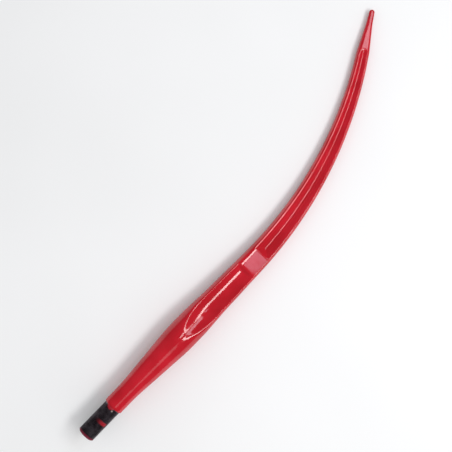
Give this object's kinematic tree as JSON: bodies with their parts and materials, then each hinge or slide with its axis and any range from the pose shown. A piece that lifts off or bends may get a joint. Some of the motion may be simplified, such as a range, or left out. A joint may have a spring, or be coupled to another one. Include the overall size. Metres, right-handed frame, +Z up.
{
  "type": "bale spear",
  "caption": "Curved forged bale spear with hollowed faces and a blunt point, a slow cone that wedges in a loader frame and a threaded shank that a nut pulls tight.",
  "frame": {"origin": "middle of the lying part's box, on the floor that it rests on", "axes": "+Z up from the floor; +X along the part from the threaded end to the point; +Y to the side that the point bends to"},
  "size_m": [0.7788, 0.1675, 0.0484],
  "materials": {
    "red_paint": "glossy red paint with orange peel over forged steel",
    "black_thread": "dark oiled steel thread, masked from the paint"
  },
  "bodies": {
    "root": {"bale_spear": "red_paint"}
  },
  "joints": []
}
